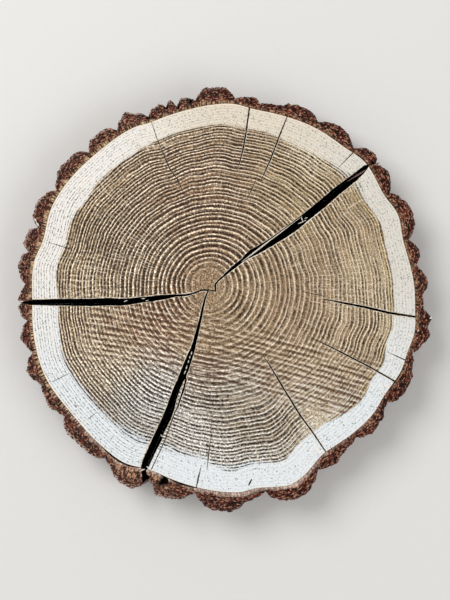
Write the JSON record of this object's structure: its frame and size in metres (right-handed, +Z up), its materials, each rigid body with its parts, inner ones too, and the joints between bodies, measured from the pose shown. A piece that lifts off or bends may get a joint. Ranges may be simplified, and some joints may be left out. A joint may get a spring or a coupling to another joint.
{
  "type": "wood slice",
  "caption": "Round slice of an oak log with its bark on, lying flat: pale sapwood, brown heartwood with fine rings, and drying cracks that run out from the pith.",
  "frame": {"origin": "middle of the underside, at the centre of the slice's box", "axes": "+Z up through the thickness, +X to the right and +Y to the top of the upper face as it is seen in the picture"},
  "size_m": [0.2983, 0.3059, 0.035],
  "materials": {
    "wood": "sawn and dry, matte",
    "bark": "rough, matte"
  },
  "bodies": {
    "root": {"wood": "wood", "bark": "bark"}
  },
  "joints": []
}
